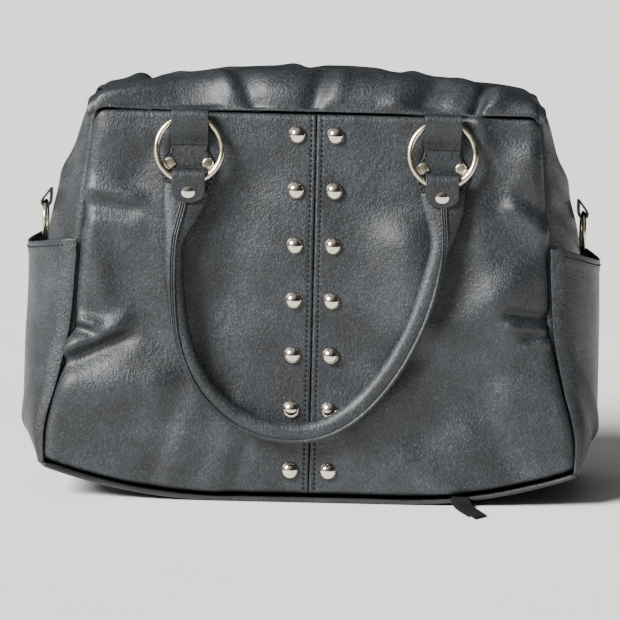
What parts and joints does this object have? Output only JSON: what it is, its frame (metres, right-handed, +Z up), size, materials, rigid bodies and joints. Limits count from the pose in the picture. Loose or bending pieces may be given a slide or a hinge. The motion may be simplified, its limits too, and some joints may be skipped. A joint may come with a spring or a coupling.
{
  "type": "diaper bag",
  "caption": "Soft satchel-style diaper bag with a zipped top, studded front, two ring-mounted handles, side pockets and strap rings.",
  "frame": {"origin": "centre of the underside of the base, where the bag stands", "axes": "+Z up through the zipped top, +X to the right of someone facing the studded front, front faces -Y"},
  "size_m": [0.3908, 0.2087, 0.288],
  "materials": {
    "slate_leather": "pebbled slate-grey faux leather, mottled, soft semi-gloss",
    "polished_nickel": "mirror-polished warm nickel",
    "satin_nickel": "smooth satin warm nickel",
    "lining_cloth": "plain woven lining cloth",
    "zip_cloth": "woven zip tape with moulded teeth",
    "ribbon": "black grosgrain ribbon"
  },
  "bodies": {
    "bag": {"front_panel_left": "slate_leather", "front_panel_right": "slate_leather", "back_panel": "slate_leather", "side_gusset_left": "slate_leather", "side_gusset_right": "slate_leather", "side_pocket_left": "slate_leather", "side_pocket_right": "slate_leather", "base_panel": "slate_leather", "lining": "lining_cloth", "base_ribbon": "ribbon", "strap_tab_left": "slate_leather", "strap_tab_right": "slate_leather", "stud_left_1": "polished_nickel", "stud_left_2": "polished_nickel", "stud_left_3": "polished_nickel", "stud_left_4": "polished_nickel", "stud_left_5": "polished_nickel", "stud_left_6": "polished_nickel", "stud_left_7": "polished_nickel", "stud_right_1": "polished_nickel", "stud_right_2": "polished_nickel", "stud_right_3": "polished_nickel", "stud_right_4": "polished_nickel", "stud_right_5": "polished_nickel", "stud_right_6": "polished_nickel", "stud_right_7": "polished_nickel", "front_patch_left": "slate_leather", "front_patch_right": "slate_leather", "front_loop_left": "slate_leather", "front_loop_right": "slate_leather", "front_patch_rivet_left_a": "satin_nickel", "front_patch_rivet_left_b": "satin_nickel", "front_patch_rivet_right_a": "satin_nickel", "front_patch_rivet_right_b": "satin_nickel", "back_patch_left": "slate_leather", "back_patch_right": "slate_leather", "back_loop_left": "slate_leather", "back_loop_right": "slate_leather", "back_patch_rivet_left_a": "satin_nickel", "back_patch_rivet_left_b": "satin_nickel", "back_patch_rivet_right_a": "satin_nickel", "back_patch_rivet_right_b": "satin_nickel"},
    "top_flap_front": {"top_flap_front": "slate_leather", "zip_tape_front": "zip_cloth"},
    "top_flap_back": {"top_flap_back": "slate_leather", "zip_tape_back": "zip_cloth"},
    "zip_slider": {"zip_slider": "satin_nickel"},
    "zip_pull": {"zip_pull": "satin_nickel"},
    "front_rings": {"front_ring_left": "satin_nickel", "front_ring_right": "satin_nickel"},
    "front_handle": {"front_handle": "slate_leather", "front_handle_rivet_left": "polished_nickel", "front_handle_rivet_right": "polished_nickel"},
    "back_rings": {"back_ring_left": "satin_nickel", "back_ring_right": "satin_nickel"},
    "back_handle": {"back_handle": "slate_leather", "back_handle_rivet_left": "polished_nickel", "back_handle_rivet_right": "polished_nickel"},
    "strap_ring_left": {"strap_ring_left": "satin_nickel"},
    "strap_ring_right": {"strap_ring_right": "satin_nickel"}
  },
  "joints": [
    {"name": "front_flap_fold", "type": "hinge", "parent": "bag", "child": "top_flap_front", "pos_m": [0, -0.061, 0.2588], "axis": [1, 0, 0], "range_deg": [0, 45]},
    {"name": "back_flap_fold", "type": "hinge", "parent": "bag", "child": "top_flap_back", "pos_m": [0, 0.061, 0.2588], "axis": [-1, 0, 0], "range_deg": [0, 45]},
    {"name": "zip_travel", "type": "hinge", "parent": "top_flap_front", "child": "zip_slider", "pos_m": [0, 0, -0.281], "axis": [0, 1, 0], "range_deg": [0, 23.5]},
    {"name": "zip_pull_lift", "type": "hinge", "parent": "zip_slider", "child": "zip_pull", "pos_m": [-0.11761, 0, 0.26979], "axis": [0, -1, 0], "range_deg": [0, 150]},
    {"name": "front_rings_swing", "type": "hinge", "parent": "bag", "child": "front_rings", "pos_m": [0, -0.06636, 0.2546], "axis": [-1, 0, 0], "range_deg": [0, 165]},
    {"name": "front_handle_swing", "type": "hinge", "parent": "front_rings", "child": "front_handle", "pos_m": [0, -0.07456, 0.21239], "axis": [-1, 0, 0], "range_deg": [0, 20]},
    {"name": "back_rings_swing", "type": "hinge", "parent": "bag", "child": "back_rings", "pos_m": [0, 0.06636, 0.2546], "axis": [1, 0, 0], "range_deg": [0, 165]},
    {"name": "back_handle_swing", "type": "hinge", "parent": "back_rings", "child": "back_handle", "pos_m": [0, 0.07456, 0.21239], "axis": [1, 0, 0], "range_deg": [0, 20]},
    {"name": "left_strap_ring_swing", "type": "hinge", "parent": "bag", "child": "strap_ring_left", "pos_m": [-0.18191, 0, 0.1895], "axis": [0, 1, 0], "range_deg": [0, 120]},
    {"name": "right_strap_ring_swing", "type": "hinge", "parent": "bag", "child": "strap_ring_right", "pos_m": [0.18191, 0, 0.1895], "axis": [0, -1, 0], "range_deg": [0, 120]}
  ]
}
